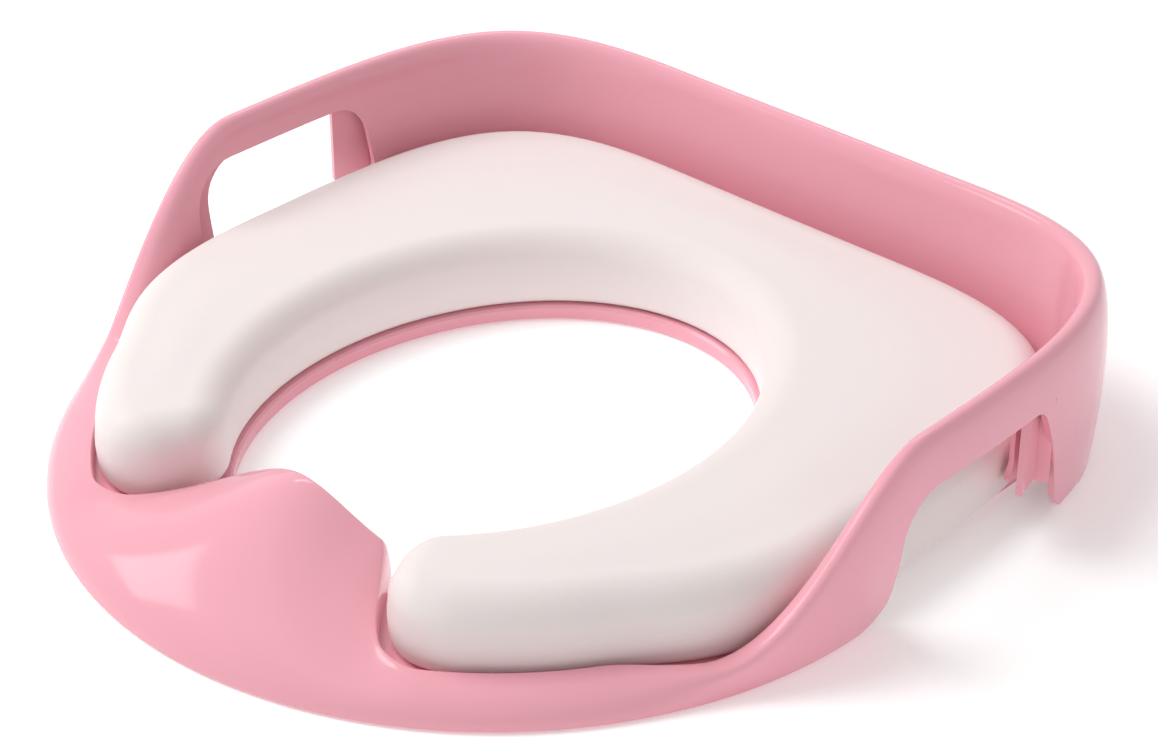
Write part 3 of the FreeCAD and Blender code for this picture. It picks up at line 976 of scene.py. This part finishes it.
    def window(self, outline: Sequence[Pair], outer: bool, side: float) -> bpy.types.Object:
        """Solid that cuts one wall of an armrest.

        Args:
            outline: Places along Y and heights.
            outer: Whether it is the outer wall.
            side: 1 for the right armrest, -1 for the left.

        Returns:
            The solid.
        """
        nearest, farthest = self.window_reach
        near = [(self.parting(height) if outer else nearest) for _, height in outline]
        far = [(farthest if outer else self.parting(height)) for _, height in outline]
        ends = []
        for across in (near, far):
            ends.append([Vector((side * x, y, z)) * MM for x, (y, z) in zip(across, outline)])
        return prism("window", ends[0], ends[1])

    def notch(self, side: float) -> bpy.types.Object:
        """Solid that cuts the well floor back to the sill.

        Args:
            side: 1 for the right, -1 for the left.

        Returns:
            The solid.
        """
        front, rear = self.notch_ends
        low, high = self.notch_heights
        outline = [(front, low), (front, high), (rear, high), (rear, low)]
        ends = [[Vector((side * x, y, z)) * MM for y, z in outline] for x in (self.sill, self.notch_far)]
        return prism("notch", ends[0], ends[1])

    def sill_plate(self) -> Plate:
        """Upright wall under a hand opening, just inside the sill line."""
        middle = self.sill - self.plan.skin / 2.0
        front, rear = self.sill_ends
        return Plate((middle, front), (middle, rear), self.plan.skin, self.plan.lift, self.sill_top)

    def build(self) -> None:
        """Build the mesh."""
        rim = ring_body("rim", [self.section(turn) for turn in self.stations()])
        floor = ring_body("well_floor", [self.floor_section(turn) for turn in self.stations()])
        outer, inner = rounded(self.outer_window), rounded(self.inner_window)
        sides = (1.0, -1.0)
        slots = []
        for side in sides:
            slots += [self.window(outer, True, side), self.window(inner, False, side)]
        cut(rim, slots)
        cut(floor, [self.notch(side) for side in sides])
        parts = [rim, floor]
        for turn in self.web_turns:
            parts += [self.web(turn), self.web(360.0 - turn)]
        parts.append(self.web(self.back_web))
        for side in sides:
            parts += [plate.build(side) for plate in (self.reveal, self.reveal_web, self.sill_plate())]
        self.made = join("frame_shell", parts)

    def dress(self, finish: Moulded) -> None:
        """Args:
            finish: Its plastic.
        """
        self.made.data.materials.append(finish.build())
        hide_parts("frame")
        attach(self.made, "root")
        LOG.info("frame: %d faces", len(self.made.data.polygons))


@dataclass
class Underside:
    """Backing board and grip pads below the seat."""

    nodes: dict[str, bpy.types.Object]

    def dress(self, board: Moulded, pads: Moulded) -> None:
        """Colour the board and the pads.

        Args:
            board: Finish of the backing board.
            pads: Finish of the grip pads.
        """
        board_finish, pad_finish = board.build(), pads.build()
        for name, node in self.nodes.items():
            if name == "cushion_board":
                finish, slot = board_finish, Slot.BOARD
            elif name.startswith("grip_pad"):
                finish, slot = pad_finish, Slot.PAD
            else:
                continue
            node.data.materials.clear()
            node.data.materials.append(finish)
            LOG.info("%s dressed", name)


@dataclass(frozen=True)
class Lamp:
    """Area lamp: role, place and aim in metres, width and height, power, whether gloss shows it."""

    role: Lighting
    place: Triple
    aim: Triple
    size: Pair
    watts: float
    mirrored: bool = True

    def build(self) -> None:
        """Hang the lamp."""
        light = bpy.data.lights.new(self.role.value, "AREA")
        light.shape = "RECTANGLE"
        light.size, light.size_y = self.size
        light.energy = self.watts
        lamp = bpy.data.objects.new(self.role.value, light)
        lamp.location = Vector(self.place)
        towards = Vector(self.aim) - Vector(self.place)
        lamp.rotation_euler = towards.to_track_quat("-Z", "Y").to_euler()
        lamp.visible_glossy = self.mirrored
        bpy.context.scene.collection.objects.link(lamp)


@dataclass
class Studio:
    """White floor and surroundings, lamps, and a camera where the photographer stood."""

    azimuth: float = 42.98
    elevation: float = 31.43
    lens: float = 89.13
    sensor: float = 36.0
    position: Triple = (0.5727, -0.5875, 0.5262)
    room_light: float = 0.4
    floor_reach: float = 6.0
    floor_glow: float = 0.25
    lamps: tuple[Lamp, ...] = (
        Lamp(Lighting.KEY, (-1.0, -0.42, 1.7), (0.0, 0.0, 0.0), (1.3, 1.3), 27.0, mirrored=False),
        Lamp(Lighting.WINDOW, (-1.3, -0.62, 1.05), (0.0, -0.1, 0.0), (0.6, 0.5), 2.8),
        Lamp(Lighting.FILL, (1.4, -0.6, 0.9), (0.0, 0.0, 0.0), (1.2, 0.8), 2.0, mirrored=False),
        Lamp(Lighting.RIM, (-0.9, 1.1, 1.4), (0.0, 0.1, 0.05), (1.0, 0.12), 2.0),
    )

    def room(self) -> None:
        """White surroundings, plain white to the camera and in reflections."""
        world = bpy.data.worlds.new("white_room")
        bpy.context.scene.world = world
        world.use_nodes = True
        tree = world.node_tree
        tree.nodes.clear()
        path = add_node(tree, "ShaderNodeLightPath")
        light = add_node(
            tree, "ShaderNodeBackground", inputs={"Color": linear("FFFDFC"), "Strength": self.room_light},
        )
        seen = add_node(tree, "ShaderNodeBackground", inputs={"Color": linear("FFFFFF"), "Strength": 1.0})
        plain = add_node(
            tree, "ShaderNodeMath", operation="MAXIMUM",
            inputs={0: path.outputs["Is Camera Ray"], 1: path.outputs["Is Glossy Ray"]},
        )
        mix = add_node(
            tree, "ShaderNodeMixShader",
            inputs={
                0: plain.outputs["Value"],
                1: light.outputs["Background"],
                2: seen.outputs["Background"],
            },
        )
        add_node(tree, "ShaderNodeOutputWorld", inputs={"Surface": mix.outputs["Shader"]})

    def floor(self) -> None:
        """White floor that keeps the seat's shadow."""
        reach = self.floor_reach
        mesh = bpy.data.meshes.new("floor")
        mesh.from_pydata(
            [(-reach, -reach, 0.0), (reach, -reach, 0.0), (reach, reach, 0.0), (-reach, reach, 0.0)],
            [], [(0, 1, 2, 3)],
        )
        floor = bpy.data.objects.new("floor", mesh)
        bpy.context.scene.collection.objects.link(floor)
        # matt white paper: no gloss, and bright enough to meet the white background
        material, tree = new_material("white_paper")
        paper = add_node(
            tree, "ShaderNodeBsdfPrincipled",
            inputs={
                "Base Color": linear("FFFFFF"),
                "Roughness": 0.9,
                "Specular IOR Level": 0.0,
                "Emission Color": linear("FFFFFF"),
                "Emission Strength": self.floor_glow,
            },
        )
        add_node(tree, "ShaderNodeOutputMaterial", inputs={"Surface": paper.outputs["BSDF"]})
        mesh.materials.append(material)
        floor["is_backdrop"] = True

    def camera(self) -> None:
        """Set the camera where the photograph was taken."""
        lens = bpy.data.cameras.new("photo_camera")
        lens.lens = self.lens
        lens.sensor_width = self.sensor
        camera = bpy.data.objects.new("photo_camera", lens)
        camera.location = self.position
        camera.rotation_euler = (math.radians(90.0 - self.elevation), 0.0, math.radians(self.azimuth))
        bpy.context.scene.collection.objects.link(camera)
        bpy.context.scene.camera = camera

    def build(self) -> None:
        """Build the whole studio."""
        self.room()
        self.floor()
        for lamp in self.lamps:
            lamp.build()
        self.camera()
        bpy.context.scene.view_settings.view_transform = "Standard"


def corners() -> list[list[float]]:
    """Lowest and highest corner of what is shown, as two plain lists."""
    return [list(corner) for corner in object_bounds()]


def main() -> None:
    """Build and dress the seat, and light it."""
    logging.basicConfig(level=logging.INFO)
    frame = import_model()
    nodes = frame["nodes"]
    # injection-moulded polypropylene copolymer, polished tool: even colour, clear soft-edged highlights
    pink = Moulded("polypropylene_pink", "F2A9B8", 0.12, ior=1.49)
    # injection-moulded polypropylene, spark-eroded tool: dull off-white
    board = Moulded("polypropylene_white", "EDE8E4", 0.45, ior=1.49)
    # thermoplastic elastomer, over 60 Shore A: matt grey-white
    rubber = Moulded("thermoplastic_rubber", "CFC9C6", 0.6, ior=1.5)
    # integral-skin polyurethane foam: satin skin, light that sinks in a little
    foam = SkinFoam("polyurethane_skin", "EEE6E4")
    plan = Plan()
    shell = FrameShell(plan)
    shell.build()
    shell.dress(pink)
    cushion = Cushion(plan)
    cushion.build()
    cushion.dress(foam)
    Underside(nodes).dress(board, rubber)
    Studio().build()


if __name__ == "__main__":
    main()
